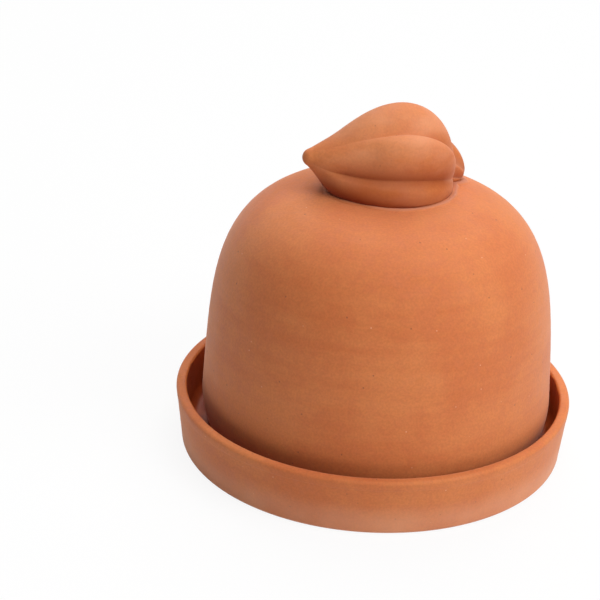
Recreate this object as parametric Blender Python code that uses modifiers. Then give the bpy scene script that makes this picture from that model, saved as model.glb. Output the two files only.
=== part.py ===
"""Terracotta garlic roaster: a low dish, a tall dome that stands in it and a garlic-bulb knob.

Metres, +Z up. The origin is the centre of the dish's underside, and the bulb's tip points to -X.
"""

import math

import bmesh
import bpy
from mathutils import Vector

# Dish, outside
DISH_RIM_RADIUS = 0.0635
DISH_WALL_FLARE = 0.0022
DISH_FOOT_RADIUS = DISH_RIM_RADIUS - DISH_WALL_FLARE
DISH_HEIGHT = 0.0193
DISH_FOOT_ROUNDING = 0.0016

# Dish, rim and inside
DISH_RIM_WIDTH = 0.0034
DISH_RIM_ROUNDING = 0.0011
DISH_FLOOR_THICKNESS = 0.0050
DISH_WALL_LEAN = 0.0012
DISH_COVE_RADIUS = 0.0035

# Dome, outside: a belly that clears the dish's rim, a wall that leans in above it, a flat crown, and a
# foot drawn in below the belly
DOME_CLEARANCE = 0.0042
DOME_BELLY_RADIUS = DISH_RIM_RADIUS - DISH_RIM_WIDTH - DOME_CLEARANCE
DOME_HEIGHT = 0.0817
DOME_BELLY_HEIGHT = 0.0133
DOME_WALL_LEAN = 0.0036
DOME_WALL_POWER = 4.26
DOME_CROWN_POWER = 3.75
DOME_FOOT_ARC = 0.0277

# Dome, wall and lip, and how far it stands from the middle of the dish
DOME_WALL = 0.0042
DOME_LIP_ROUNDING = 0.0012
DOME_OFF_CENTRE = 0.0009

# Luting slip between the crown and the knob, and the gap on each side of it
SLIP_THICKNESS = 0.0006
SLIP_BEAD_WIDTH = 0.0007
SEAT_GAP = 0.0003

# Knob: the bulb's heart from the centre of the crown, its heading and the rise of its tip
KNOB_RIGHT = 0.0016
KNOB_BACK = 0.0074
KNOB_ABOVE_CROWN = 0.0047
KNOB_HEADING = math.radians(21.2)
KNOB_TIP_RISE = math.radians(13.2)
KNOB_TIP_REACH = 0.0273
KNOB_TIP_RADIUS = 0.0026
KNOB_TIP_LIFT = 0.0002
KNOB_ROOT_REACH = 0.0187
KNOB_ROOT_GATHERING = 0.61

# Cloves: turn about the bulb's length from facing forward, distance from it, radius, place along it,
# and the two powers by which a clove thins towards the tip
TOP_CLOVE = (math.radians(72.6), 0.0108, 0.0121, 0.0007, 1.57, 1.36)
FRONT_CLOVE = (math.radians(31.8), 0.0045, 0.0177, 0.0005, 0.91, 0.85)
LOW_CLOVE = (math.radians(-30.1), 0.0046, 0.0181, -0.0002, 1.07, 1.01)
BACK_CLOVE = (math.radians(126.0), 0.0055, 0.0101, -0.0064, 1.30, 1.10)
REAR_CLOVE = (math.radians(172.0), 0.0065, 0.0120, -0.0010, 1.50, 1.20)
UNDER_CLOVE = (math.radians(225.0), 0.0050, 0.0145, -0.0010, 1.20, 1.10)
CLOVES = (TOP_CLOVE, FRONT_CLOVE, LOW_CLOVE, BACK_CLOVE, REAR_CLOVE, UNDER_CLOVE)
CLOVE_BLEND = 0.0006

# Creases between the cloves: turn at the tip and at the root end, the power of the bend between, and
# how far the middle bows. Each falls away steeply on its nearer clove and slowly on the next, and
# fades out towards the tip.
CREASES = (
    (math.radians(-16.6), math.radians(12.2), 1.11, math.radians(11.7)),
    (math.radians(49.4), math.radians(54.1), 0.86, math.radians(2.3)),
    (math.radians(114.0), math.radians(70.0), 4.0, 0.0),
    (math.radians(134.0), math.radians(181.0), 4.0, 0.0),
    (math.radians(197.0), math.radians(191.0), 1.0, 0.0),
    (math.radians(262.0), math.radians(275.0), 1.0, 0.0),
)
CREASE_DEPTH = 0.085
CREASE_FADE = 0.22
CREASE_NEAR_WIDTH = math.radians(5.0)
CREASE_FAR_WIDTH = math.radians(13.0)

# Fineness of the surfaces
TURNED_STEPS = 72
ARC_STEPS = 4
DOME_STEPS = 18
KNOB_RINGS = 40
SIDES_OF_A_CLOVE = 9
RING_CROWDING = 1.6
COLUMN_CROWDING = 0.5
CLOVE_BALLS = 36
SLOPE_STEP = 0.002
MERGE_DISTANCE = 0.00005

LIP_HEIGHT = DISH_FLOOR_THICKNESS + SEAT_GAP


def clear_scene():
    for item in list(bpy.data.objects):
        bpy.data.objects.remove(item, do_unlink=True)


def new_collection(name):
    collection = bpy.data.collections.new(name)
    bpy.context.scene.collection.children.link(collection)
    return collection


def clay(name, colour, roughness):
    material = bpy.data.materials.new(name)
    material.use_nodes = True
    shader = material.node_tree.nodes["Principled BSDF"]
    shader.inputs["Base Color"].default_value = (*colour, 1.0)
    shader.inputs["Roughness"].default_value = roughness
    shader.inputs["Metallic"].default_value = 0.0
    material.diffuse_color = (*colour, 1.0)
    return material


def rounded(corners):
    """Outline through corners of radius, height and rounding, where each rounding is an arc."""
    points = []
    last = len(corners) - 1
    for place, (radius, height, rounding) in enumerate(corners):
        corner = Vector((radius, height))
        if place in (0, last) or rounding == 0.0:
            points.append(corner)
            continue
        before = (Vector(corners[place - 1][:2]) - corner).normalized()
        after = (Vector(corners[place + 1][:2]) - corner).normalized()
        half_angle = before.angle(after) / 2
        centre = corner + (before + after).normalized() * rounding / math.sin(half_angle)
        start = (corner + before * rounding / math.tan(half_angle) - centre).normalized()
        end = (corner + after * rounding / math.tan(half_angle) - centre).normalized()
        for step in range(ARC_STEPS + 1):
            spoke = start.slerp(end, step / ARC_STEPS)
            points.append(centre + spoke * rounding)
    return points


def turned(name, points, collection, material=None):
    """Solid turned about +Z from an outline that runs down its outer side."""
    mesh = bpy.data.meshes.new(name)
    edges = [(place, place + 1) for place in range(len(points) - 1)]
    mesh.from_pydata([(point.x, 0.0, point.y) for point in points], edges, [])
    if material:
        mesh.materials.append(material)
    item = bpy.data.objects.new(name, mesh)
    collection.objects.link(item)
    screw = item.modifiers.new("Turn", "SCREW")
    screw.axis = "Z"
    screw.angle = 2 * math.pi
    screw.steps = TURNED_STEPS
    screw.render_steps = TURNED_STEPS
    screw.use_merge_vertices = True
    screw.merge_threshold = MERGE_DISTANCE
    screw.use_smooth_shade = True
    return item


def combine(item, operation, cutter):
    """Cut an object by a cutter, or keep only what lies inside it."""
    cutter.hide_render = True
    cutter.display_type = "WIRE"
    boolean = item.modifiers.new("Fit to neighbour", "BOOLEAN")
    boolean.operation = operation
    boolean.solver = "EXACT"
    boolean.object = cutter


def make_dish(collection, material):
    inner_radius = DISH_RIM_RADIUS - DISH_RIM_WIDTH
    corners = (
        (0.0, DISH_FLOOR_THICKNESS, 0.0),
        (inner_radius - DISH_WALL_LEAN, DISH_FLOOR_THICKNESS, DISH_COVE_RADIUS),
        (inner_radius, DISH_HEIGHT, DISH_RIM_ROUNDING),
        (DISH_RIM_RADIUS, DISH_HEIGHT, DISH_RIM_ROUNDING),
        (DISH_FOOT_RADIUS, 0.0, DISH_FOOT_ROUNDING),
        (0.0, 0.0, 0.0),
    )
    return turned("base_dish", rounded(corners), collection, material)


def upper_dome_point(turn):
    """Point on the dome's outside above its belly: turn 0 is the belly and 1 the crown's centre."""
    angle = turn * math.pi / 2
    rise = math.sin(angle) ** (2 / DOME_WALL_POWER)
    spread = max(math.cos(angle), 0.0) ** (2 / DOME_CROWN_POWER)
    radius = (DOME_BELLY_RADIUS - DOME_WALL_LEAN * rise) * spread
    return Vector((radius, DOME_BELLY_HEIGHT + (DOME_HEIGHT - DOME_BELLY_HEIGHT) * rise))


def crown_outline(offset):
    """Dome outline from the crown's centre down to the belly, moved outwards by an offset."""
    points = []
    for step in range(DOME_STEPS + 1):
        share = 1 - step / DOME_STEPS
        turn = share * share * (3 - 2 * share)
        above = upper_dome_point(min(turn + SLOPE_STEP, 1.0))
        below = upper_dome_point(max(turn - SLOPE_STEP, 0.0))
        run = above - below
        outward = Vector((run.y, -run.x)).normalized()
        if step == 0:
            outward = Vector((0.0, 1.0))
        points.append(upper_dome_point(turn) + outward * offset)
    points[0].x = 0.0
    return points


def foot_outline(offset):
    """Dome outline below the belly, down an arc to the height of the lip's edge."""
    drop_angle = math.asin(DOME_BELLY_HEIGHT / DOME_FOOT_ARC)
    centre = Vector((DOME_BELLY_RADIUS - DOME_FOOT_ARC, DOME_BELLY_HEIGHT))
    points = []
    for step in range(1, ARC_STEPS + 1):
        angle = drop_angle * step / ARC_STEPS
        spoke = Vector((math.cos(angle), -math.sin(angle)))
        points.append(centre + spoke * (DOME_FOOT_ARC + offset))
    return points


def make_dome(collection, material):
    outside = crown_outline(0.0) + foot_outline(0.0)
    inside = crown_outline(-DOME_WALL) + foot_outline(-DOME_WALL)
    lip_edge = outside.pop()
    corners = [(point.x, point.y, 0.0) for point in outside]
    corners.append((lip_edge.x, 0.0, DOME_LIP_ROUNDING))
    corners.append((lip_edge.x - DOME_WALL, 0.0, DOME_LIP_ROUNDING))
    corners.extend((point.x, point.y, 0.0) for point in reversed(inside))
    return turned("dome_lid", rounded(corners), collection, material)


def clove_balls(extra):
    """Centres and radii of the balls that fill each clove, along it to the tip and to the root end."""
    cloves = []
    for turn, offset, radius, place, long_power, end_power in CLOVES:
        side = Vector((0.0, math.cos(turn), math.sin(turn))) * offset
        balls = []
        for step in range(CLOVE_BALLS + 1):
            share = step / CLOVE_BALLS
            fullness = (1 - share**long_power) ** end_power
            centre = Vector((place, 0.0, 0.0)).lerp(Vector((KNOB_TIP_REACH, 0.0, 0.0)), share)
            centre += side * fullness + Vector((0.0, 0.0, KNOB_TIP_LIFT)) * share**3
            balls.append((centre, KNOB_TIP_RADIUS + (radius - KNOB_TIP_RADIUS) * fullness + extra))
        span = KNOB_ROOT_REACH**2 - radius**2
        for step in range(1, CLOVE_BALLS + 1):
            share = step / CLOVE_BALLS
            back = share * span / KNOB_ROOT_REACH
            centre = Vector((place - back, 0.0, 0.0)) + side * (1 - KNOB_ROOT_GATHERING * share**2)
            balls.append((centre, radius * math.sqrt(1 - back**2 / span) + extra))
        cloves.append(balls)
    return cloves


def clove_reach(direction, balls):
    """How far one clove reaches from the bulb's heart in a direction."""
    reach = 0.0
    for centre, radius in balls:
        along = centre.dot(direction)
        inside = radius**2 - centre.length_squared + along**2
        if inside > 0:
            reach = max(reach, along + math.sqrt(inside))
    return reach


def crease_turns(share):
    """Turns of all creases at a share of the way from the tip to the root end, once around."""
    turns = []
    for tip, root, bend, bow in CREASES:
        turns.append(tip + (root - tip) * share**bend + bow * math.sin(math.pi * share))
    turns.append(turns[0] + 2 * math.pi)
    return turns


def bulb(name, extra, lid, collection, material=None):
    """Garlic bulb on its side: a ball drawn out to the cloves, with a crease between each two."""
    cloves = clove_balls(extra)
    shape = bmesh.new()
    sides = SIDES_OF_A_CLOVE * len(CREASES)
    bmesh.ops.create_uvsphere(shape, u_segments=sides, v_segments=KNOB_RINGS, radius=1.0)
    for vertex in shape.verts:
        # The rings crowd towards the tip, where the bulb is thinnest, and the columns to the creases
        share = (math.acos(max(-1.0, min(1.0, vertex.co.z))) / math.pi) ** RING_CROWDING
        turns = crease_turns(share)
        column = math.floor(math.atan2(vertex.co.y, vertex.co.x) / (2 * math.pi) * sides) % sides
        sector, side = divmod(column, SIDES_OF_A_CLOVE)
        across = side / SIDES_OF_A_CLOVE
        across += COLUMN_CROWDING * ((1 - math.cos(math.pi * across)) / 2 - across)
        turn = turns[sector] + (turns[sector + 1] - turns[sector]) * across
        far_side = math.exp((turns[sector] - turn) / CREASE_FAR_WIDTH)
        near_side = math.exp((turn - turns[sector + 1]) / CREASE_NEAR_WIDTH)
        valley = CREASE_DEPTH * min(share / CREASE_FADE, 1.0) * max(far_side, near_side)

        polar = math.pi * share
        around = Vector((0.0, math.cos(turn), math.sin(turn)))
        direction = around * math.sin(polar) + Vector((math.cos(polar), 0.0, 0.0))
        reaches = [clove_reach(direction, balls) for balls in cloves]
        longest = max(reaches)
        blended = sum(math.exp((reach - longest) / CLOVE_BLEND) for reach in reaches)
        point = direction * (longest + CLOVE_BLEND * math.log(blended))
        vertex.co = (point.x, point.y * (1 - valley), point.z * (1 - valley))
    mesh = bpy.data.meshes.new(name)
    shape.to_mesh(mesh)
    shape.free()
    mesh.shade_smooth()
    if material:
        mesh.materials.append(material)
    item = bpy.data.objects.new(name, mesh)
    collection.objects.link(item)
    item.parent = lid
    item.location = (KNOB_RIGHT, KNOB_BACK, DOME_HEIGHT + KNOB_ABOVE_CROWN)
    item.rotation_euler = (0.0, -KNOB_TIP_RISE, math.pi + KNOB_HEADING)
    return item


def make_lid(parts, cutters, outer_clay, slip_clay):
    lid = bpy.data.objects.new("lid_lift", None)
    parts.objects.link(lid)
    lid.location = (DOME_OFF_CENTRE, 0.0, LIP_HEIGHT)
    dome = make_dome(parts, outer_clay)
    dome.parent = lid

    # The slip lies on the crown, and the knob lies on the slip
    slip_bottom = SEAT_GAP
    slip_top = slip_bottom + SLIP_THICKNESS
    layer = crown_outline(slip_top) + list(reversed(crown_outline(slip_bottom)))
    slip = turned("slip_joint", layer, parts, slip_clay)
    slip.parent = lid
    combine(slip, "INTERSECT", bulb("slip_edge_cutter", SLIP_BEAD_WIDTH, lid, cutters))

    axis_foot = Vector((0.0, DOME_BELLY_HEIGHT))
    crown = turned("crown_cutter", crown_outline(slip_top + SEAT_GAP) + [axis_foot], cutters)
    crown.parent = lid
    knob = bulb("garlic_knob", 0.0, lid, parts, outer_clay)
    combine(knob, "DIFFERENCE", crown)


def main():
    clear_scene()
    parts = new_collection("garlic_roaster")
    cutters = new_collection("cutters")
    outer_clay = clay("terracotta", (0.62, 0.23, 0.10), 0.85)
    slip_clay = clay("pale_slip", (0.68, 0.34, 0.22), 0.9)
    dish_clay = clay("dish_terracotta", (0.60, 0.22, 0.10), 0.85)
    make_dish(parts, dish_clay)
    make_lid(parts, cutters, outer_clay, slip_clay)


main()
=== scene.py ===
"""Terracotta garlic roaster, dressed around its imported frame. Metres, +Z up, origin under the dish."""

import math

import bpy
import numpy as np
from mathutils import Euler, Matrix, Vector


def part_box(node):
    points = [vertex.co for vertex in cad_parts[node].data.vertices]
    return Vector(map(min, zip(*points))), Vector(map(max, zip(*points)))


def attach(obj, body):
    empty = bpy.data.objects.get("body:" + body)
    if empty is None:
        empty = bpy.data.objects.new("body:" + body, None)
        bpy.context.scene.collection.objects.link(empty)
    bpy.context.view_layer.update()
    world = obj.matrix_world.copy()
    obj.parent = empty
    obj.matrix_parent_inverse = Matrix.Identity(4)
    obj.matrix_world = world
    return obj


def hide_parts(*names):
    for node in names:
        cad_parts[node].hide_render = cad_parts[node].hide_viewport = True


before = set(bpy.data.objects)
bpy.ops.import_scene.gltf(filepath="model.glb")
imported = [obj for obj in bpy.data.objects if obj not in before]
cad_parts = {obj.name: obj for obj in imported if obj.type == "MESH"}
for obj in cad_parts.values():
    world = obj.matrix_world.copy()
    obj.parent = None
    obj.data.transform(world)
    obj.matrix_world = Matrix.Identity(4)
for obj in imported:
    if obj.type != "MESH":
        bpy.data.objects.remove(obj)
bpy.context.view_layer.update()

# Camera
# A long lens a little to the left of the roaster and well above it, tilted down, with a slight lean
# to one side.
CAMERA_TILT = math.radians(25.52)
CAMERA_LEAN = math.radians(2.395)
CAMERA_PLACE = (-0.02466, -0.64482, 0.35605)
CAMERA_LENS = 135.0
CAMERA_SENSOR = 36.0
CAMERA_NEAREST = 0.05
CAMERA_FARTHEST = 20.0


def new_object(name, data):
    """Object that holds a camera, a mesh or a lamp, linked to the scene."""
    item = bpy.data.objects.new(name, data)
    bpy.context.scene.collection.objects.link(item)
    return item


lens = bpy.data.cameras.new("photo_camera")
lens.lens = CAMERA_LENS
lens.sensor_width = CAMERA_SENSOR
lens.clip_start = CAMERA_NEAREST
lens.clip_end = CAMERA_FARTHEST
camera = new_object("photo_camera", lens)
camera.location = CAMERA_PLACE
looking_down = Euler((math.pi / 2 - CAMERA_TILT, 0.0, 0.0)).to_matrix()
camera.rotation_euler = (looking_down @ Matrix.Rotation(CAMERA_LEAN, 3, "Z")).to_euler()
bpy.context.scene.camera = camera

# Dish
# A low round dish thrown in red clay, with a flat rim, an upright wall and a flat foot. It is fired
# bare outside; inside, a clear amber glaze that darkens the clay covers the wall and the floor.
DISH_RIM_RADIUS = 0.063495
DISH_FOOT_RADIUS = 0.0613
DISH_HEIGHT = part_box("base_dish")[1].z
DISH_FOOT_ROUNDING = 0.0016
DISH_RIM_WIDTH = 0.0034
DISH_RIM_ROUNDING = 0.0011
DISH_FLOOR = 0.0050
DISH_WALL_LEAN = 0.0012
DISH_COVE_RADIUS = 0.0035
RIM_BAND_HEIGHT = 0.0030
RIM_BAND_RELIEF = 0.00012

# Fineness of turned surfaces, and the thrower's spiral finger marks: depth, distance between turns,
# the radius within which they fade out, and waves that make them wander, each with its size, its
# number around and its drift with height
TURNED_SIDES = 240
ARC_STEPS = 8
RING_SPACING = 0.0011
TURNING_MARK = 0.00003
TURNING_PITCH = 0.0046
TURNING_CALM = 0.01
TURNING_WANDER = ((0.7, 2, 90.0), (0.4, 3, -240.0))


def rounded(corners):
    """Outline through corners of radius, height and rounding, where each rounding is an arc."""
    points = []
    for place, (radius, height, rounding) in enumerate(corners):
        corner = Vector((radius, height))
        if place in (0, len(corners) - 1) or rounding == 0.0:
            points.append(corner)
            continue
        before = (Vector(corners[place - 1][:2]) - corner).normalized()
        after = (Vector(corners[place + 1][:2]) - corner).normalized()
        half_angle = before.angle(after) / 2
        centre = corner + (before + after).normalized() * rounding / math.sin(half_angle)
        start = (corner + before * rounding / math.tan(half_angle) - centre).normalized()
        end = (corner + after * rounding / math.tan(half_angle) - centre).normalized()
        for step in range(ARC_STEPS + 1):
            points.append(centre + start.slerp(end, step / ARC_STEPS) * rounding)
    return points


def spaced(points):
    """The same outline with extra points along its long runs, for the turning marks."""
    finer = [points[0]]
    for start, end in zip(points, points[1:]):
        parts = max(1, math.ceil((end - start).length / RING_SPACING))
        finer.extend(start.lerp(end, part / parts) for part in range(1, parts + 1))
    return finer


def thrown(name, outline, shift=0.0):
    """Piece turned about +Z from an outline between two points on the axis, with spiral finger marks."""
    outline = spaced(outline)
    around = np.arange(TURNED_SIDES) * 2 * math.pi / TURNED_SIDES
    points = [(shift, 0.0, outline[0].y)]
    for before, point, after in zip(outline, outline[1:], outline[2:]):
        run = after - before
        outward = Vector((-run.y, run.x)).normalized()
        spiral = 2 * math.pi * (point.y - point.x) / TURNING_PITCH + around
        wander = sum(size * np.sin(waves * around + drift * point.y) for size, waves, drift in TURNING_WANDER)
        mark = TURNING_MARK * min(1.0, point.x / TURNING_CALM)
        sunk = mark * (0.5 + 0.5 * np.sin(spiral + wander))
        radius = point.x - outward.x * sunk
        height = np.maximum(point.y - outward.y * sunk, 0.0)
        points.extend(zip(shift + radius * np.cos(around), radius * np.sin(around), height))
    points.append((shift, 0.0, outline[-1].y))
    last_ring = 1 + (len(outline) - 3) * TURNED_SIDES
    faces = []
    for side in range(TURNED_SIDES):
        beside = (side + 1) % TURNED_SIDES
        faces.append((0, 1 + side, 1 + beside))
        for ring in range(1, last_ring, TURNED_SIDES):
            below = ring + TURNED_SIDES
            faces.append((ring + side, below + side, below + beside, ring + beside))
        faces.append((last_ring + side, len(points) - 1, last_ring + beside))
    mesh = bpy.data.meshes.new(name)
    mesh.from_pydata(points, [], faces)
    mesh.shade_smooth()
    return new_object(name, mesh)


def dish_outline():
    """Outline from the middle of the well, over the rim and down the outside to the foot."""
    inner_radius = DISH_RIM_RADIUS - DISH_RIM_WIDTH
    foot_edge = Vector((DISH_FOOT_RADIUS, 0.0))
    rim_edge = Vector((DISH_RIM_RADIUS, DISH_HEIGHT))
    band_foot = foot_edge.lerp(rim_edge, (DISH_HEIGHT - RIM_BAND_HEIGHT) / DISH_HEIGHT)
    corners = (
        (0.0, DISH_FLOOR, 0.0),
        (inner_radius - DISH_WALL_LEAN, DISH_FLOOR, DISH_COVE_RADIUS),
        (inner_radius, DISH_HEIGHT, DISH_RIM_ROUNDING),
        (DISH_RIM_RADIUS, DISH_HEIGHT, DISH_RIM_ROUNDING),
        (band_foot.x, band_foot.y, RIM_BAND_RELIEF),
        (band_foot.x - RIM_BAND_RELIEF, band_foot.y - 2 * RIM_BAND_RELIEF, RIM_BAND_RELIEF),
        (DISH_FOOT_RADIUS - RIM_BAND_RELIEF, 0.0, DISH_FOOT_ROUNDING),
        (0.0, 0.0, 0.0),
    )
    return rounded(corners)


# Fired clay: its two shades, its plain surface, and the strength and depth of its relief
TERRACOTTA = (0.622, 0.185, 0.049)
DARK_TERRACOTTA = (0.562, 0.142, 0.033)
CLAY_SURFACE = {
    "Specular IOR Level": 0.5,
    "Sheen Weight": 0.17,
    "Sheen Roughness": 0.5,
    "Sheen Tint": (1.0, 0.86, 0.78, 1.0),
}
CLAY_BUMP = 0.35
CLAY_BUMP_DEPTH = 0.00018

# Its clouds, sand and turning bands: size or stretch, how fine the noise is, the part of the noise's
# range that counts, and how far each shifts shade, brightness, roughness and relief
NOISE_DETAIL = 2.0
FINE_DETAIL = 3.0
BAND_DETAIL = 4.0
CLOUD_SIZE = 0.030
CLOUD_RANGE = (0.34, 0.68)
FINE_CLOUD_SIZE = 0.0030
FINE_CLOUD_RANGE = (0.3, 0.7)
FINE_CLOUD_SHIFT = (-0.30, 0.30)
FINE_CLOUD_ROUGHNESS = (0.66, 0.80)
SAND_SIZE = 0.0007
SAND_RANGE = (0.25, 0.75)
SAND_BRIGHTNESS = (0.93, 1.06)
SAND_RELIEF = 0.35
BAND_STRETCH = (22.0, 22.0, 260.0)
BAND_SHIFT = 1.8
BAND_RELIEF = 0.8

# Its dark pits and pale grit: spacing, radius and share of the cells that have one, then strength,
# relief and colour, and the part of a speck's radius that is evenly full
PIT_CELLS = (0.0042, 0.00036, 0.50)
PIT_STRENGTH = 0.6
PIT_RELIEF = -1.2
PIT_CLAY = (0.20, 0.05, 0.02)
GRIT_CELLS = (0.0046, 0.00028, 0.45)
GRIT_STRENGTH = 0.55
GRIT_RELIEF = 0.5
GRIT_CLAY = (0.80, 0.44, 0.27)
SPECK_CORE = 0.55


def add(tree, kind, **settings):
    """New node of a kind, with its properties and the values of its inputs, which start with a capital."""
    node = tree.nodes.new("ShaderNode" + kind)
    for key, value in settings.items():
        if key[0].isupper():
            node.inputs[key.replace("_", " ")].default_value = value
        else:
            setattr(node, key, value)
    return node


def new_effect(name, inputs, outputs):
    """Empty shader node group with named colour, value and vector sockets."""
    group = bpy.data.node_groups.new(name, "ShaderNodeTree")
    for direction, sockets in (("INPUT", inputs), ("OUTPUT", outputs)):
        for socket, kind in sockets.items():
            group.interface.new_socket(socket, in_out=direction, socket_type="NodeSocket" + kind)
    return group, group.nodes.new("NodeGroupInput"), group.nodes.new("NodeGroupOutput")


def mixed(tree, share, first, second):
    """Colour mix of two links or colours by a linked share."""
    node = add(tree, "Mix", data_type="RGBA")
    tree.links.new(share, node.inputs[0])
    for socket, value in ((node.inputs[6], first), (node.inputs[7], second)):
        if isinstance(value, bpy.types.NodeSocket):
            tree.links.new(value, socket)
        else:
            socket.default_value = (*value, 1.0)
    return node.outputs[2]


def worked(tree, operation, *values):
    """Result of one math step on links or numbers."""
    node = add(tree, "Math", operation=operation)
    for socket, value in zip(node.inputs, values):
        if isinstance(value, bpy.types.NodeSocket):
            tree.links.new(value, socket)
        else:
            socket.default_value = value
    return node.outputs[0]


def ranged(tree, value, given, result=(0.0, 1.0)):
    """A link's value taken smoothly from one range to another."""
    node = add(tree, "MapRange", interpolation_type="SMOOTHSTEP")
    tree.links.new(value, node.inputs[0])
    for socket, number in zip(node.inputs[1:5], (*given, *result)):
        socket.default_value = number
    return node.outputs[0]


def stretched(tree, vector, scale):
    """Coordinates scaled unlike along the three axes."""
    node = add(tree, "VectorMath", operation="MULTIPLY")
    tree.links.new(vector, node.inputs[0])
    node.inputs[1].default_value = scale
    return node.outputs[0]


def noise(tree, vector, size, detail=NOISE_DETAIL):
    """Noise whose patches measure about a size."""
    node = add(tree, "TexNoise", Scale=1 / size, Detail=detail)
    tree.links.new(vector, node.inputs["Vector"])
    return node.outputs["Fac"]


def specks(tree, vector, spacing, radius, share):
    """Mask of scattered round specks with soft edges: one in each cell, kept in a share of the cells."""
    node = add(tree, "TexVoronoi", Scale=1 / spacing)
    tree.links.new(vector, node.inputs["Vector"])
    kept = worked(tree, "LESS_THAN", node.outputs["Color"], share)
    edge = radius / spacing
    return worked(tree, "MULTIPLY", ranged(tree, node.outputs["Distance"], (edge, SPECK_CORE * edge)), kept)


def fired_clay():
    """Bare fired clay: cloudy colour, fine sand, soft turning bands, dark pits and pale grit."""
    group, given, result = new_effect(
        "fired_clay",
        {"Vector": "Vector", "Clay": "Color", "Dark clay": "Color", "Bands": "Float", "Pits": "Float"},
        {"Color": "Color", "Roughness": "Float", "Height": "Float"},
    )
    vector = given.outputs["Vector"]
    clouds = ranged(group, noise(group, vector, CLOUD_SIZE), CLOUD_RANGE)
    fine_clouds = noise(group, vector, FINE_CLOUD_SIZE, FINE_DETAIL)
    sand = noise(group, vector, SAND_SIZE)
    bands = noise(group, stretched(group, vector, BAND_STRETCH), 1.0, BAND_DETAIL)
    banding = worked(group, "MULTIPLY", worked(group, "SUBTRACT", bands, 0.5), given.outputs["Bands"])
    pits = worked(group, "MULTIPLY", specks(group, vector, *PIT_CELLS), given.outputs["Pits"])
    grit = specks(group, vector, *GRIT_CELLS)

    shade = worked(group, "MULTIPLY_ADD", banding, BAND_SHIFT, clouds)
    shade = worked(group, "ADD", shade, ranged(group, fine_clouds, FINE_CLOUD_RANGE, FINE_CLOUD_SHIFT))
    colour = mixed(group, shade, given.outputs["Dark clay"], given.outputs["Clay"])
    grained = add(group, "VectorMath", operation="SCALE")
    group.links.new(colour, grained.inputs[0])
    group.links.new(ranged(group, sand, SAND_RANGE, SAND_BRIGHTNESS), grained.inputs["Scale"])
    colour = mixed(group, worked(group, "MULTIPLY", grit, GRIT_STRENGTH), grained.outputs[0], GRIT_CLAY)
    colour = mixed(group, worked(group, "MULTIPLY", pits, PIT_STRENGTH), colour, PIT_CLAY)
    group.links.new(colour, result.inputs["Color"])

    roughness = ranged(group, fine_clouds, FINE_CLOUD_RANGE, FINE_CLOUD_ROUGHNESS)
    group.links.new(roughness, result.inputs["Roughness"])
    height = worked(group, "MULTIPLY", sand, SAND_RELIEF)
    height = worked(group, "MULTIPLY_ADD", banding, BAND_RELIEF, height)
    height = worked(group, "MULTIPLY_ADD", grit, GRIT_RELIEF, height)
    height = worked(group, "MULTIPLY_ADD", pits, PIT_RELIEF, height)
    group.links.new(height, result.inputs["Height"])
    return group


FIRED_CLAY = fired_clay()


def new_material(name, values):
    """Material with one Principled shader and its plain values; also gives back its tree and shader."""
    material = bpy.data.materials.new(name)
    material.use_nodes = True
    shader = material.node_tree.nodes["Principled BSDF"]
    for key, value in values.items():
        shader.inputs[key].default_value = value
    return material, material.node_tree, shader


def object_place(tree):
    """The piece's own coordinates, and the height among them."""
    place = add(tree, "TexCoord").outputs["Object"]
    axes = add(tree, "SeparateXYZ")
    tree.links.new(place, axes.inputs[0])
    return place, axes.outputs["Z"]


def clay_effect(tree, bands, pits):
    """The fired clay effect placed in a material, with how much it shows its bands and pits."""
    effect = tree.nodes.new("ShaderNodeGroup")
    effect.node_tree = FIRED_CLAY
    tree.links.new(add(tree, "TexCoord").outputs["Object"], effect.inputs["Vector"])
    effect.inputs["Clay"].default_value = (*TERRACOTTA, 1.0)
    effect.inputs["Dark clay"].default_value = (*DARK_TERRACOTTA, 1.0)
    effect.inputs["Bands"].default_value = bands
    effect.inputs["Pits"].default_value = pits
    return effect


def linked(tree, shader, colour, roughness, height, bump):
    """A colour and a roughness led to the shader, and a height as bump of a strength."""
    tree.links.new(colour, shader.inputs["Base Color"])
    tree.links.new(roughness, shader.inputs["Roughness"])
    relief = add(tree, "Bump", Strength=bump, Distance=CLAY_BUMP_DEPTH)
    tree.links.new(height, relief.inputs["Height"])
    tree.links.new(relief.outputs["Normal"], shader.inputs["Normal"])


# How plainly the dish shows bands and pits, and how it grows paler down the wall: the pale colour,
# its strength, the heights between which it grows paler, and its patches
DISH_BANDS = 0.6
DISH_PITS = 0.8
PALE_CLAY = (0.76, 0.37, 0.22)
PALING_SHARE = 0.52
PALING_HEIGHTS = (0.0125, 0.0030)
PALING_PATCH_SIZE = 0.015
PALING_PATCH_RANGE = (0.25, 0.75)
PALING_PATCH_SHARE = (0.6, 1.0)

# Glaze: thin and thick colour, surface, how its runs are stretched, the height and the waver of its
# edge inside the rim, and how far out and how far down its faces go
GLAZE = (0.50, 0.095, 0.022)
DARK_GLAZE = (0.34, 0.056, 0.014)
GLAZE_SURFACE = {"Specular IOR Level": 0.26}
EDGE_TO_GLAZE_ROUGHNESS = (0.72, 0.30)
GLAZE_BUMP = 0.08
GLAZE_RUNS = (140.0, 140.0, 24.0)
GLAZE_RUN_RANGE = (0.30, 0.75)
GLAZE_EDGE = DISH_HEIGHT - 0.0007
GLAZE_EDGE_SOFTNESS = 0.0002
GLAZE_WAVER = 0.0004
GLAZE_WAVER_SIZE = 0.006
GLAZE_WAVER_RANGE = (0.3, 0.7)
GLAZE_REACH = DISH_RIM_RADIUS - DISH_RIM_WIDTH + 0.0004
GLAZE_LOWEST = 0.6 * DISH_FLOOR


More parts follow.
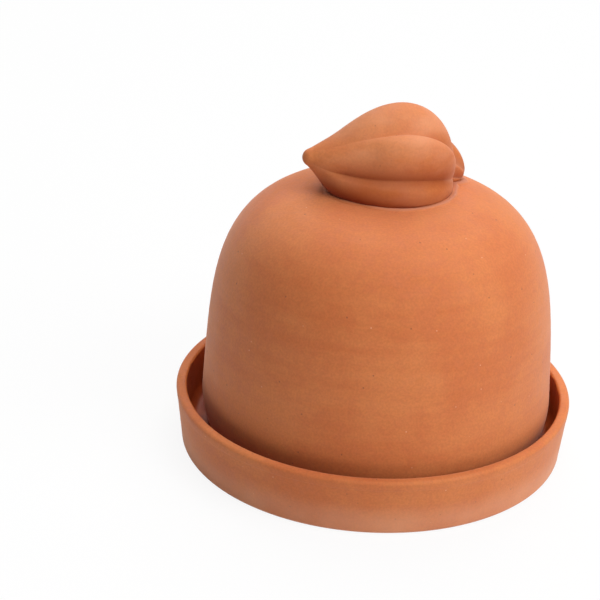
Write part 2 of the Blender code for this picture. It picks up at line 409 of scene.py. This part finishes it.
def dish_material():
    """Bare clay of the rim, wall and foot, paler in patches and more so further down the wall."""
    material, tree, shader = new_material("dish_clay", CLAY_SURFACE)
    clay = clay_effect(tree, DISH_BANDS, DISH_PITS)
    place, height = object_place(tree)
    patches = noise(tree, place, PALING_PATCH_SIZE, FINE_DETAIL)
    patchy = ranged(tree, patches, PALING_PATCH_RANGE, PALING_PATCH_SHARE)
    paling = worked(tree, "MULTIPLY", ranged(tree, height, PALING_HEIGHTS), patchy)
    paling = worked(tree, "MULTIPLY", paling, PALING_SHARE)
    colour = mixed(tree, paling, clay.outputs["Color"], PALE_CLAY)
    linked(tree, shader, colour, clay.outputs["Roughness"], clay.outputs["Height"], CLAY_BUMP)
    return material


def glaze_material():
    """Amber glaze of the well, thinner in patches, that ends in a slightly uneven line inside the rim."""
    material, tree, shader = new_material("dish_glaze", GLAZE_SURFACE)
    clay = clay_effect(tree, 0.0, 0.0)
    place, height = object_place(tree)
    waver = noise(tree, place, GLAZE_WAVER_SIZE)
    waver = ranged(tree, waver, GLAZE_WAVER_RANGE, (-GLAZE_WAVER, GLAZE_WAVER))
    edge = (GLAZE_EDGE + GLAZE_EDGE_SOFTNESS, GLAZE_EDGE - GLAZE_EDGE_SOFTNESS)
    glazed = ranged(tree, worked(tree, "ADD", height, waver), edge)
    runs = noise(tree, stretched(tree, place, GLAZE_RUNS), 1.0, FINE_DETAIL)
    glaze = mixed(tree, ranged(tree, runs, GLAZE_RUN_RANGE), DARK_GLAZE, GLAZE)
    colour = mixed(tree, glazed, clay.outputs["Color"], glaze)
    roughness = ranged(tree, glazed, (0.0, 1.0), EDGE_TO_GLAZE_ROUGHNESS)
    linked(tree, shader, colour, roughness, clay.outputs["Height"], GLAZE_BUMP)
    return material


dish = thrown("dish", dish_outline())
dish.data.materials.append(dish_material())
dish.data.materials.append(glaze_material())
for face in dish.data.polygons:
    face_radius = math.hypot(face.center.x, face.center.y)
    if face_radius < GLAZE_REACH and face.center.z > GLAZE_LOWEST:
        face.material_index = 1
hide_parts("base_dish")
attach(dish, "dish")

# Dome
# A tall bell thrown upside down in the same clay, bare inside and out. It stands loose on the dish's
# floor, drawn in a little at its foot, and its crown is nearly flat where the knob sits.
DOME_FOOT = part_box("dome_lid")[0].z
DOME_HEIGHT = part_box("dome_lid")[1].z - DOME_FOOT
DOME_MIDDLE = (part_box("dome_lid")[0].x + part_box("dome_lid")[1].x) / 2
DOME_BELLY_RADIUS = 0.0559
DOME_BELLY_HEIGHT = 0.0133
DOME_WALL_LEAN = 0.0036
DOME_WALL_POWER = 4.26
DOME_CROWN_POWER = 3.75
DOME_FOOT_ARC = 0.0277
DOME_WALL = 0.0042
DOME_LIP_ROUNDING = 0.0012
DOME_STEPS = 90
SLOPE_STEP = 0.0008
DOME_BANDS = 1.0
DOME_PITS = 1.0


def upper_dome_point(turn):
    """Point on the dome's outside above its belly: turn 0 is the belly and 1 the crown's centre."""
    angle = turn * math.pi / 2
    rise = math.sin(angle) ** (2 / DOME_WALL_POWER)
    spread = max(math.cos(angle), 0.0) ** (2 / DOME_CROWN_POWER)
    radius = (DOME_BELLY_RADIUS - DOME_WALL_LEAN * rise) * spread
    return Vector((radius, DOME_BELLY_HEIGHT + (DOME_HEIGHT - DOME_BELLY_HEIGHT) * rise))


def crown_outline(offset):
    """Dome outline from the crown's centre down to the belly, moved outwards by an offset."""
    points = []
    for step in range(DOME_STEPS + 1):
        share = 1 - step / DOME_STEPS
        turn = share * share * (3 - 2 * share)
        above = upper_dome_point(min(turn + SLOPE_STEP, 1.0))
        below = upper_dome_point(max(turn - SLOPE_STEP, 0.0))
        run = above - below
        outward = Vector((run.y, -run.x)).normalized() if step else Vector((0.0, 1.0))
        points.append(upper_dome_point(turn) + outward * offset)
    points[0].x = 0.0
    return points


def foot_outline(offset):
    """Dome outline below the belly, down an arc to the height of the lip's edge."""
    drop_angle = math.asin(DOME_BELLY_HEIGHT / DOME_FOOT_ARC)
    centre = Vector((DOME_BELLY_RADIUS - DOME_FOOT_ARC, DOME_BELLY_HEIGHT))
    points = []
    for step in range(1, ARC_STEPS + 1):
        angle = drop_angle * step / ARC_STEPS
        points.append(centre + Vector((math.cos(angle), -math.sin(angle))) * (DOME_FOOT_ARC + offset))
    return points


def dome_outline():
    """Outline from the ceiling's centre down the inside, round the lip and up the outside."""
    outside = crown_outline(0.0) + foot_outline(0.0)
    inside = crown_outline(-DOME_WALL) + foot_outline(-DOME_WALL)
    lip_edge = outside.pop()
    corners = [(point.x, point.y, 0.0) for point in inside[:-1]]
    corners.append((lip_edge.x - DOME_WALL, 0.0, DOME_LIP_ROUNDING))
    corners.append((lip_edge.x, 0.0, DOME_LIP_ROUNDING))
    corners.extend((point.x, point.y, 0.0) for point in reversed(outside))
    return [point + Vector((0.0, DOME_FOOT)) for point in rounded(corners)]


def dome_material():
    """Bare clay with soft turning bands."""
    material, tree, shader = new_material("dome_clay", CLAY_SURFACE)
    clay = clay_effect(tree, DOME_BANDS, DOME_PITS)
    linked(tree, shader, clay.outputs["Color"], clay.outputs["Roughness"], clay.outputs["Height"], CLAY_BUMP)
    return material


dome = thrown("dome", dome_outline(), DOME_MIDDLE)
dome.data.flip_normals()
dome.data.materials.append(dome_material())
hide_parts("dome_lid")
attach(dome, "lid")

# Knob
# A garlic bulb lying on its side, pressed in a mould from the same clay and stuck to the crown. Its
# cloves taper to one blunt tip, and each two meet in a crease.
KNOB_HEART = Vector((DOME_MIDDLE + 0.0016, 0.0074, DOME_FOOT + DOME_HEIGHT + 0.00447))
KNOB_HEADING = math.radians(21.2)
KNOB_TIP_RISE = math.radians(13.2)
KNOB_TIP_REACH = 0.0273
KNOB_TIP_RADIUS = 0.0026
KNOB_TIP_LIFT = 0.0002
KNOB_ROOT_REACH = 0.0187
KNOB_ROOT_GATHERING = 0.61
KNOB_RINGS = 120
SIDES_OF_A_CLOVE = 26
RING_CROWDING = 1.6
COLUMN_CROWDING = 0.5
knob_turn = Euler((0.0, -KNOB_TIP_RISE, math.pi + KNOB_HEADING)).to_matrix()

# Foot: how high the flattened skin lies on the crown, how far it turns in above that and up to which
# height, the spread and the bulge at the front, where it was pressed down, and the distance from the
# bulb's heart within which the skin isn't moved
KNOB_SEAT = 0.0003
KNOB_TUCK = 0.0002
KNOB_TUCK_HEIGHT = 0.0070
FRONT_SPREAD = 0.0010
FRONT_BULGE = 0.0010
FRONT_HEADING = math.radians(244.0)
FRONT_WIDTH = math.radians(38.0)
FOOT_NEAR = 0.004

# Cloves: turn about the bulb's length from facing forward, distance from it, radius, place along it,
# and the two powers by which a clove thins towards the tip
TOP_CLOVE = (math.radians(72.6), 0.0108, 0.0121, 0.0007, 1.57, 1.36)
FRONT_CLOVE = (math.radians(31.8), 0.0045, 0.0177, 0.0005, 0.91, 0.85)
LOW_CLOVE = (math.radians(-30.1), 0.0046, 0.0181, -0.0002, 1.07, 1.01)
BACK_CLOVE = (math.radians(126.0), 0.0055, 0.0101, -0.0064, 1.30, 1.10)
REAR_CLOVE = (math.radians(172.0), 0.0065, 0.0120, -0.0010, 1.50, 1.20)
UNDER_CLOVE = (math.radians(225.0), 0.0050, 0.0145, -0.0010, 1.20, 1.10)
CLOVES = (TOP_CLOVE, FRONT_CLOVE, LOW_CLOVE, BACK_CLOVE, REAR_CLOVE, UNDER_CLOVE)
CLOVE_BLEND = 0.0006
CLOVE_BALLS = 60

# Creases between the cloves, in degrees: turn at the tip and at the root end, the power of the bend
# between, how far the middle bows, how far the clove above it turns in and how far the one below. The
# last two are its depth as a share of the bulb's radius and the way from the tip to its full depth.
CREASES = (
    (-16.6, 12.2, 1.11, 11.7, 38.0, 10.0, 0.225, 0.16),
    (49.4, 54.1, 0.86, 2.3, 34.0, 5.5, 0.165, 0.34),
    (114.0, 70.0, 4.0, 0.0, 30.0, 5.5, 0.110, 0.22),
    (134.0, 181.0, 4.0, 0.0, 26.0, 8.0, 0.015, 0.22),
    (197.0, 191.0, 1.0, 0.0, 20.0, 8.0, 0.015, 0.22),
    (262.0, 275.0, 1.0, 0.0, 30.0, 5.5, 0.110, 0.22),
)

# Powers of a clove's turning in and of a crease's start at the tip, the depth from which a crease
# shows fully, and the number of points around the bulb
TURNING_IN = 1.4
CREASE_START = 1.5
CREASE_SHOWN = 0.11
KNOB_SIDES = SIDES_OF_A_CLOVE * len(CREASES)


def clove_balls(clove):
    """Centres and radii of the balls that fill a clove, along it to the tip and to the root end."""
    turn, offset, radius, place, long_power, end_power = clove
    side = np.array((0.0, math.cos(turn), math.sin(turn))) * offset
    share = np.linspace(0.0, 1.0, CLOVE_BALLS + 1)
    fullness = (1 - share**long_power) ** end_power
    along = place + (KNOB_TIP_REACH - place) * share
    centres = np.outer(along, (1, 0, 0)) + np.outer(fullness, side)
    centres += np.outer(KNOB_TIP_LIFT * share**3, (0, 0, 1))
    radii = KNOB_TIP_RADIUS + (radius - KNOB_TIP_RADIUS) * fullness
    span = KNOB_ROOT_REACH**2 - radius**2
    back = share * span / KNOB_ROOT_REACH
    root_centres = np.outer(place - back, (1, 0, 0)) + np.outer(1 - KNOB_ROOT_GATHERING * share**2, side)
    root_radii = radius * np.sqrt(1 - back**2 / span)
    return np.vstack((centres, root_centres)), np.concatenate((radii, root_radii))


def clove_reach(directions, balls):
    """How far one clove reaches from the bulb's heart in each direction."""
    centres, radii = balls
    along = directions @ centres.T
    inside = radii**2 - (centres**2).sum(1) + along**2
    return np.where(inside > 0, along + np.sqrt(np.maximum(inside, 0.0)), 0.0).max(1)


def crease_turns(share):
    """Turns of all creases at each share of the way from the tip to the root end, once around."""
    turns = []
    for tip, root, bend, bow, *_ in CREASES:
        turns.append(tip + (root - tip) * share**bend + bow * np.sin(math.pi * share))
    return np.radians(turns + [turns[0] + 360.0])


cloves = [clove_balls(clove) for clove in CLOVES]


def bulb_points(share, turn):
    """Points of the bulb's skin in its own frame, with how plainly each lies in a crease."""
    polar = math.pi * share
    spread = np.sin(polar)
    directions = np.stack((np.cos(polar), spread * np.cos(turn), spread * np.sin(turn)), -1)
    reaches = np.array([clove_reach(directions, balls) for balls in cloves])
    longest = reaches.max(0)
    blended = np.exp((reaches - longest) / CLOVE_BLEND).sum(0)
    points = directions * (longest + CLOVE_BLEND * np.log(blended))[:, None]
    gaps = np.degrees(turn - crease_turns(share)[:-1] + math.pi) % 360 - 180
    above, below, depth, fade = np.array(CREASES)[:, 4:].T[:, :, None]
    turned_in = np.clip(1 - gaps / above, 0.0, 1.0) ** TURNING_IN
    valleys = np.where(gaps > 0, turned_in, np.exp(np.minimum(gaps, 0.0) / below))
    valleys *= np.minimum(share / fade, 1.0) ** CREASE_START
    points[:, 1:] *= (1 - (depth * valleys).max(0))[:, None]
    return points, (valleys * np.minimum(depth / CREASE_SHOWN, 1.0)).max(0)


crown = crown_outline(0.0)
crown_radii = [point.x for point in crown]
crown_heights = [point.y + DOME_FOOT for point in crown]


def crown_height(x, y):
    """Height of the dome's outside at a place."""
    return np.interp(np.hypot(x - DOME_MIDDLE, y), crown_radii, crown_heights)


def bulb_grid():
    """Share and turn of each point of the bulb's rings, crowded at the tip and along the creases."""
    column = np.tile(np.arange(KNOB_SIDES), KNOB_RINGS - 1)
    sector = column // SIDES_OF_A_CLOVE
    across = column % SIDES_OF_A_CLOVE / SIDES_OF_A_CLOVE
    across = across + COLUMN_CROWDING * ((1 - np.cos(math.pi * across)) / 2 - across)
    share = np.repeat((np.arange(1, KNOB_RINGS) / KNOB_RINGS) ** RING_CROWDING, KNOB_SIDES)
    turns = crease_turns(share)
    low = turns[sector, np.arange(share.size)]
    high = turns[sector + 1, np.arange(share.size)]
    turn = low + (high - low) * across
    return np.concatenate((share, (0.0, 1.0))), np.concatenate((turn, (0.0, 0.0)))


def bulb_faces():
    """Faces between the bulb's rings, closed at the tip and at the root end."""
    tip = (KNOB_RINGS - 1) * KNOB_SIDES
    last_ring = tip - KNOB_SIDES
    faces = []
    for side in range(KNOB_SIDES):
        beside = (side + 1) % KNOB_SIDES
        faces.append((tip, side, beside))
        for ring in range(0, last_ring, KNOB_SIDES):
            below = ring + KNOB_SIDES
            faces.append((ring + side, below + side, below + beside, ring + beside))
        faces.append((last_ring + side, tip + 1, last_ring + beside))
    return faces


def give_values(mesh, name, values):
    """One number at each point of a mesh, for its material to read."""
    attribute = mesh.attributes.new(name, "FLOAT", "POINT")
    attribute.data.foreach_set("value", values.astype(np.float32))


def given_values(tree, name):
    """The numbers at a mesh's points, in its material."""
    return add(tree, "Attribute", attribute_name=name).outputs["Fac"]


# What the mesh tells its material: the height above its seat at which the knob counts as fully up, for
# the painted shade at the foot and the paler clay towards the top, how much painted shade the foot gets
# facing forward and how much less facing right, towards the lamps, how sharp a crease's smear of slip
# is, and where along the bulb it starts and the way to its full strength
SHADE_AND_PALING_HEIGHT = 0.020
FOOT_SHADE_SHARE = 0.8
FOOT_SHADE_TURN = 0.45
SMEAR_POWER = 3
SMEAR_START = 0.66
SMEAR_LENGTH = 0.14

# The bulge's term, height * (1 - height)^2, peaks at 4 / 27
BULGE_PEAK = 4 / 27


def knob_mesh():
    """The bulb's skin as rings from tip to root, with what lies below the crown pressed flat on it."""
    share, turn = bulb_grid()
    points, valley = bulb_points(share, turn)

    # Below the crown the skin lies flat on it, and just above it turns in a little under the cloves,
    # but spreads at the front, where the wet clay was pressed down on the crown
    placed = points @ np.array(knob_turn).T + np.array(KNOB_HEART)
    seat = crown_height(placed[:, 0], placed[:, 1]) + KNOB_SEAT
    above = np.clip((placed[:, 2] - seat) / KNOB_TUCK_HEIGHT, 0.0, 1.0)
    placed[:, 2] = np.maximum(placed[:, 2], seat)
    outward = placed[:, :2] - np.array(KNOB_HEART)[:2]
    distance = np.linalg.norm(outward, axis=1)
    outward /= np.maximum(distance, FOOT_NEAR)[:, None]
    heading = np.arctan2(outward[:, 1], outward[:, 0]) % (2 * math.pi)
    front = np.exp(-(((heading - FRONT_HEADING) / FRONT_WIDTH) ** 2))
    bulge = FRONT_SPREAD + FRONT_BULGE * above / BULGE_PEAK
    tuck = (KNOB_TUCK - bulge * front) * (1 - above) ** 2
    placed[:, :2] -= outward * (tuck * np.clip(distance / FOOT_NEAR - 1, 0.0, 1.0))[:, None]

    mesh = bpy.data.meshes.new("garlic_bulb")
    mesh.from_pydata(placed.tolist(), [], bulb_faces())
    mesh.shade_smooth()
    height = np.clip((placed[:, 2] - seat) / SHADE_AND_PALING_HEIGHT, 0.0, 1.0)
    smeared = np.clip((share - SMEAR_START) / SMEAR_LENGTH, 0.0, 1.0)
    give_values(mesh, "height", height)
    # Painted shade at the foot: strongest facing forward, weaker facing right, towards the lamps
    give_values(mesh, "foot_shade", np.clip(FOOT_SHADE_SHARE - FOOT_SHADE_TURN * outward[:, 0], 0.0, 1.0))
    give_values(mesh, "slip_smear", valley**SMEAR_POWER * smeared)
    # How deep in a crease each point lies, fading higher up: it drives the painted shade in the creases
    give_values(mesh, "crease", valley * (1 - height**2))
    return mesh


# Looks: painted shade in the creases and at the foot, pale dry streaks in patches, the clay paler
# towards the top, the slip wiped over the root end, and a surface less shiny than the other pieces'
KNOB_SURFACE = {"Sheen Weight": 0.10, "Specular IOR Level": 0.25}
KNOB_PITS = 0.6
# Painted shade: the colour that creases and the foot are darkened towards, how strongly the creases take it,
# and the heights over which it fades at the foot
PAINTED_SHADE_CLAY = (0.25, 0.036, 0.002)
CREASE_PAINTED_SHADE = 0.80
FOOT_SHADE_HEIGHTS = (0.0, 0.50)
FOOT_PAINTED_SHADE = (1.0, 0.0)
KNOB_BLOOM = 0.23
KNOB_BLOOM_STRETCH = (60.0, 60.0, 160.0)
KNOB_BLOOM_RANGE = (0.35, 0.7)
# The clay grows paler towards the top of the knob: the heights between which it does, and how much
TOP_HEIGHTS = (0.55, 1.0)
TOP_PALING = (0.0, 0.21)
SMEARED_SLIP = (0.70, 0.285, 0.145)
SMEAR_STRENGTH = 0.8


def knob_material():
    """The same clay, finer and without bands, with painted shade in the creases and at the foot, and paler
    where slip was wiped.
    """
    material, tree, shader = new_material("knob_clay", CLAY_SURFACE | KNOB_SURFACE)
    clay = clay_effect(tree, 0.0, KNOB_PITS)
    height = given_values(tree, "height")
    # Painted shade: the clay is darkened in the creases and low at the foot, where shade falls
    painted_shade = worked(tree, "MULTIPLY", given_values(tree, "crease"), CREASE_PAINTED_SHADE)
    foot = ranged(tree, height, FOOT_SHADE_HEIGHTS, FOOT_PAINTED_SHADE)
    foot = worked(tree, "MULTIPLY", foot, given_values(tree, "foot_shade"))
    painted_shade = worked(tree, "MAXIMUM", painted_shade, foot)
    place = add(tree, "TexCoord").outputs["Object"]
    dry = noise(tree, stretched(tree, place, KNOB_BLOOM_STRETCH), 1.0, FINE_DETAIL)
    dry = worked(tree, "MULTIPLY", ranged(tree, dry, KNOB_BLOOM_RANGE), KNOB_BLOOM)
    dry = worked(tree, "ADD", dry, ranged(tree, height, TOP_HEIGHTS, TOP_PALING))
    smeared = worked(tree, "MULTIPLY", given_values(tree, "slip_smear"), SMEAR_STRENGTH)
    colour = mixed(tree, dry, clay.outputs["Color"], PALE_CLAY)
    colour = mixed(tree, painted_shade, colour, PAINTED_SHADE_CLAY)
    colour = mixed(tree, smeared, colour, SMEARED_SLIP)
    linked(tree, shader, colour, clay.outputs["Roughness"], clay.outputs["Height"], CLAY_BUMP)
    return material


knob = new_object("garlic_bulb", knob_mesh())
knob.data.materials.append(knob_material())
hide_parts("garlic_knob")
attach(knob, "lid")

# Slip joint
# A thin layer of liquid clay between knob and crown, squeezed out when the knob was pressed down. It
# shows as a low uneven ridge round the knob's foot, paler where a finger wiped it, with painted light
# that makes it paler still towards the right.
SLIP_STEPS = 360

# Where the search for the knob's foot starts, right of its heart, how far it goes and how often it
# halves the way
FOOT_SEARCH_START = 0.001
FOOT_SEARCH_REACH = 0.030
FOOT_SEARCH_STEPS = 24

# Profile of the layer from under the knob outwards: distance out from the knob's foot, rise above the
# crown, and paleness. Its underside lies sunk in the crown.
SLIP_PROFILE = (
    (-0.0030, 0.00020, 0.0),
    (-0.0014, 0.00022, 0.0),
    (-0.0005, 0.00022, 0.2),
    (0.0000, 0.00024, 0.3),
    (0.0004, 0.00036, 0.6),
    (0.0008, 0.00052, 1.0),
    (0.0012, 0.00050, 1.0),
    (0.0015, 0.00030, 0.6),
    (0.0018, 0.00010, 0.1),
    (0.0022, -0.00010, 0.0),
)
SLIP_UNDERSIDE = -0.0003

# Waves that make the ridge uneven, as size, number around and start, how pale the finger left it
# everywhere, how much paler painted light makes it to the right, how much paler it is at the front,
# how pale it is at least, and the pale clay and its relief
SLIP_WAVES = ((0.16, 3, 0.6), (0.11, 7, 0.0), (0.09, 17, 2.0))
WIPED_ALL = 0.65
PAINTED_LIGHT_RIGHT = 0.5
WIPED_FRONT = 0.15
WIPED_LEAST = 0.25
SLIP_CLAY = (0.52, 0.180, 0.090)
SLIP_BUMP = 0.25


def inside_bulb(place):
    """Whether each place lies inside the bulb's skin."""
    local = (place - np.array(KNOB_HEART)) @ np.array(knob_turn)
    distance = np.linalg.norm(local, axis=1)
    turn = np.arctan2(local[:, 2], local[:, 1])
    skin, _ = bulb_points(np.arccos(local[:, 0] / distance) / math.pi, turn)
    return distance < np.linalg.norm(skin, axis=1)


def foot_line(around):
    """Where the bulb's skin meets its seat on the crown, found outwards from inside its foot."""
    spokes = np.stack((np.cos(around), np.sin(around)), -1)
    near = np.zeros(SLIP_STEPS)
    far = np.full(SLIP_STEPS, FOOT_SEARCH_REACH)
    for _ in range(FOOT_SEARCH_STEPS):
        middle = (near + far) / 2
        flat = np.array((KNOB_HEART.x + FOOT_SEARCH_START, KNOB_HEART.y)) + spokes * middle[:, None]
        height = crown_height(flat[:, 0], flat[:, 1]) + KNOB_SEAT
        within = inside_bulb(np.column_stack((flat, height)))
        near = np.where(within, middle, near)
        far = np.where(within, far, middle)
    return flat


def slip_mesh():
    """A flat layer under the knob that ends in a low uneven ridge just outside the knob's foot."""
    around = np.arange(SLIP_STEPS) * 2 * math.pi / SLIP_STEPS
    line = foot_line(around)
    run = np.roll(line, -1, 0) - np.roll(line, 1, 0)
    outward = np.stack((run[:, 1], -run[:, 0]), -1)
    outward /= np.linalg.norm(outward, axis=1)[:, None]
    uneven = sum((size * np.sin(waves * around + start) for size, waves, start in SLIP_WAVES), 1)
    # Wiped slip is paler, and painted light makes it paler still towards the right, where the lamps stand
    wiped = np.clip(WIPED_ALL + outward[:, 0] * PAINTED_LIGHT_RIGHT - outward[:, 1] * WIPED_FRONT, WIPED_LEAST, 1.0)

    def row(out, rise):
        flat = line + outward * (out * np.where(out > 0, uneven, 1.0))[:, None]
        return np.column_stack((flat, crown_height(flat[:, 0], flat[:, 1]) + rise))

    rows = [row(out, rise * (uneven if out > 0 else 1.0)) for out, rise, _ in SLIP_PROFILE]
    rows.append(row(SLIP_PROFILE[-1][0], SLIP_UNDERSIDE))
    rows.append(row(SLIP_PROFILE[0][0], SLIP_UNDERSIDE))
    paleness = [pale for _, _, pale in SLIP_PROFILE] + [0.0, 0.0]
    faces = []
    for place in range(len(rows)):
        here = place * SLIP_STEPS
        further = (place + 1) % len(rows) * SLIP_STEPS
        for step in range(SLIP_STEPS):
            beside = (step + 1) % SLIP_STEPS
            faces.append((here + step, further + step, further + beside, here + beside))
    mesh = bpy.data.meshes.new("slip_ridge")
    mesh.from_pydata(np.vstack(rows).tolist(), [], faces)
    mesh.shade_smooth()
    give_values(mesh, "slip_pale_and_lit", np.outer(paleness, wiped).ravel())
    return mesh


def slip_material():
    """The crown's clay at the ridge's edges, paler towards its top."""
    material, tree, shader = new_material("slip_clay", CLAY_SURFACE)
    clay = clay_effect(tree, 0.0, 0.0)
    colour = mixed(tree, given_values(tree, "slip_pale_and_lit"), clay.outputs["Color"], SLIP_CLAY)
    linked(tree, shader, colour, clay.outputs["Roughness"], clay.outputs["Height"], SLIP_BUMP)
    return material


slip = new_object("slip_ridge", slip_mesh())
slip.data.materials.append(slip_material())
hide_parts("slip_joint")
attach(slip, "lid")

# Floor, world and lamps
# A plain pale floor that shows white and keeps a faint shadow, under a surround that is white where
# it is seen. Five large soft lamps light the roaster from the right, above, the front and behind.
FLOOR_SIZE = 6.0
FLOOR_LEVEL = -0.0001
FLOOR_GREY = 0.88
FLOOR_WHITENING = 0.90
WHITE = (1.0, 1.0, 1.0, 1.0)

# Lamps: name, place and power. All are equally wide and aimed at one point.
LAMPS = (
    ("right_softbox", (0.95, -0.55, 0.75), 7.3),
    ("low_front_softbox", (0.7, -0.95, 0.28), 0.9),
    ("top_front_softbox", (0.3, -0.5, 1.1), 8.9),
    ("top_back_softbox", (0.1, 0.6, 1.05), 8.6),
    ("back_left_softbox", (-0.7, 0.8, 0.7), 2.2),
)
LAMP_WIDTH = 0.9
LAMP_AIM = Vector((0.0, 0.0, 0.05))


def seen_share(tree):
    """1 for a ray from the camera, a mirroring or a clear surface, and 0 for light on its way."""
    path = add(tree, "LightPath")
    seen = worked(tree, "MAXIMUM", path.outputs["Is Camera Ray"], path.outputs["Is Glossy Ray"])
    return worked(tree, "MAXIMUM", seen, path.outputs["Is Transmission Ray"])


def floor_material():
    """Pale matte floor, nearly all plain white where it is seen."""
    material = bpy.data.materials.new("white_floor")
    material.use_nodes = True
    tree = material.node_tree
    tree.nodes.remove(tree.nodes["Principled BSDF"])
    matte = add(tree, "BsdfDiffuse", Color=(FLOOR_GREY, FLOOR_GREY, FLOOR_GREY, 1.0))
    white = add(tree, "Emission", Color=WHITE, Strength=1.0)
    mix = add(tree, "MixShader")
    tree.links.new(worked(tree, "MULTIPLY", seen_share(tree), FLOOR_WHITENING), mix.inputs[0])
    tree.links.new(matte.outputs[0], mix.inputs[1])
    tree.links.new(white.outputs[0], mix.inputs[2])
    tree.links.new(mix.outputs[0], tree.nodes["Material Output"].inputs["Surface"])
    return material


half = FLOOR_SIZE / 2
corners = ((-half, -half), (half, -half), (half, half), (-half, half))
floor_mesh = bpy.data.meshes.new("floor")
floor_mesh.from_pydata([(x, y, FLOOR_LEVEL) for x, y in corners], [], [(0, 1, 2, 3)])
floor_mesh.materials.append(floor_material())
floor = new_object("floor", floor_mesh)

world = bpy.data.worlds.new("soft_white_surround")
bpy.context.scene.world = world
world.use_nodes = True
background = world.node_tree.nodes["Background"]
background.inputs["Color"].default_value = WHITE
world.node_tree.links.new(seen_share(world.node_tree), background.inputs["Strength"])

for name, place, power in LAMPS:
    lamp = bpy.data.lights.new(name, "AREA")
    lamp.shape = "SQUARE"
    lamp.size = LAMP_WIDTH
    lamp.energy = power
    holder = new_object(name, lamp)
    holder.location = place
    holder.rotation_euler = (LAMP_AIM - Vector(place)).to_track_quat("-Z", "Y").to_euler()

bpy.context.scene.view_settings.view_transform = "Standard"
